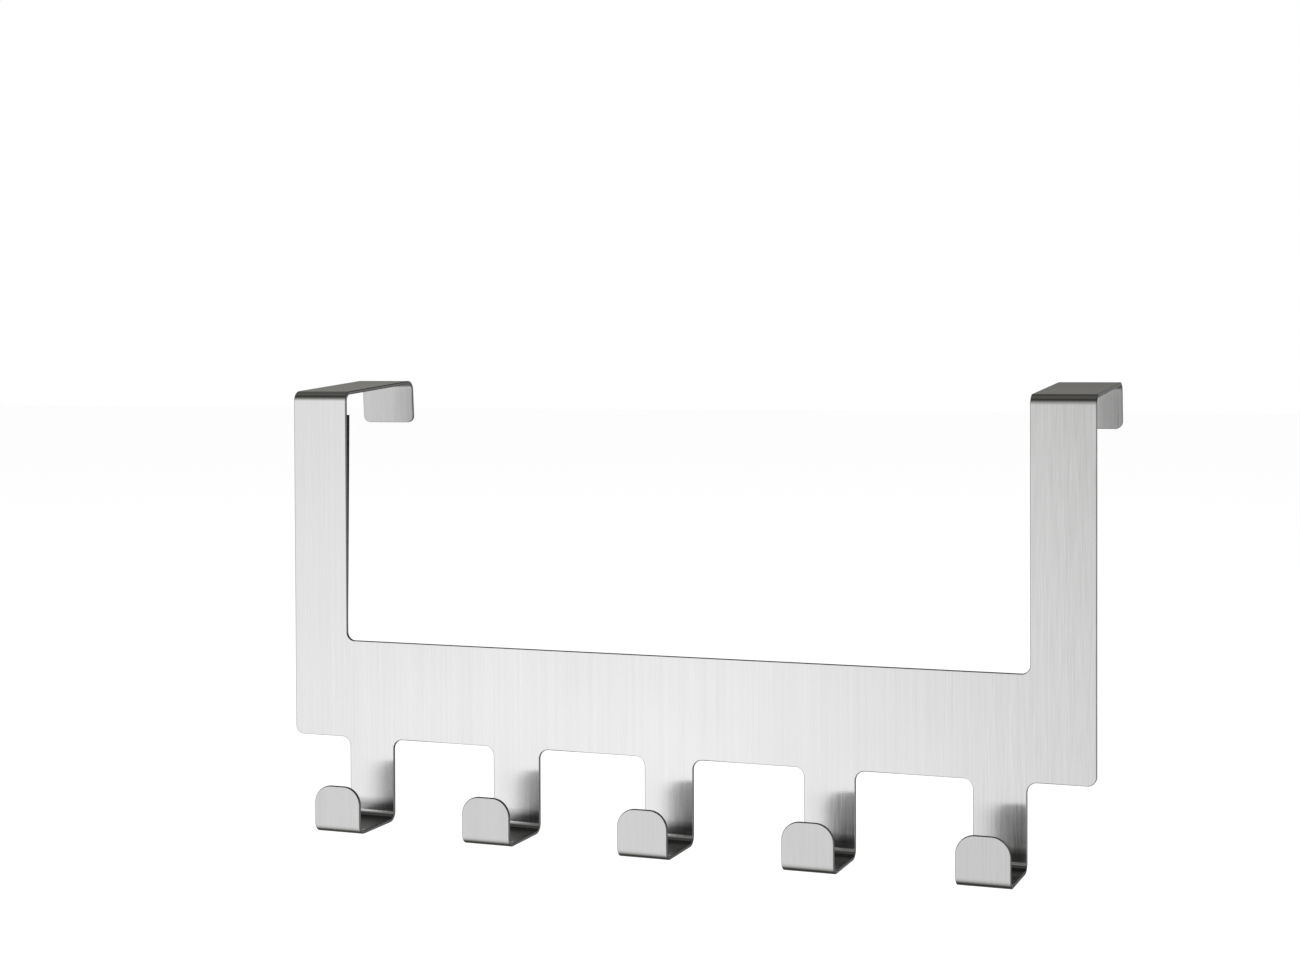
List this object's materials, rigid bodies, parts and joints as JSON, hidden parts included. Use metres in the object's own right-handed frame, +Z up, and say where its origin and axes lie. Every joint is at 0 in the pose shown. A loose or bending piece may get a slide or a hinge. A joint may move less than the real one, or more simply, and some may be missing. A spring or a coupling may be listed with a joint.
{
  "type": "over-door coat hook rail",
  "caption": "Folded sheet-steel rail that hangs over a door on two arms and carries a row of flat upturned hooks below a plain plate.",
  "frame": {"origin": "middle of the door's top front edge, halfway between the two arms: the pads' door side is the plane y = 0 and the front end of the strips' underside is the level z = 0", "axes": "+X to the right seen from the front, +Y into the door and away from the hooks, +Z up"},
  "size_m": [0.28, 0.0732, 0.1506],
  "materials": {
    "sheet": "brushed, upright grain",
    "pad": "matt foam"
  },
  "bodies": {
    "root": {"hook_rail": "sheet", "door_pad_left": "pad", "door_pad_right": "pad"}
  },
  "joints": []
}
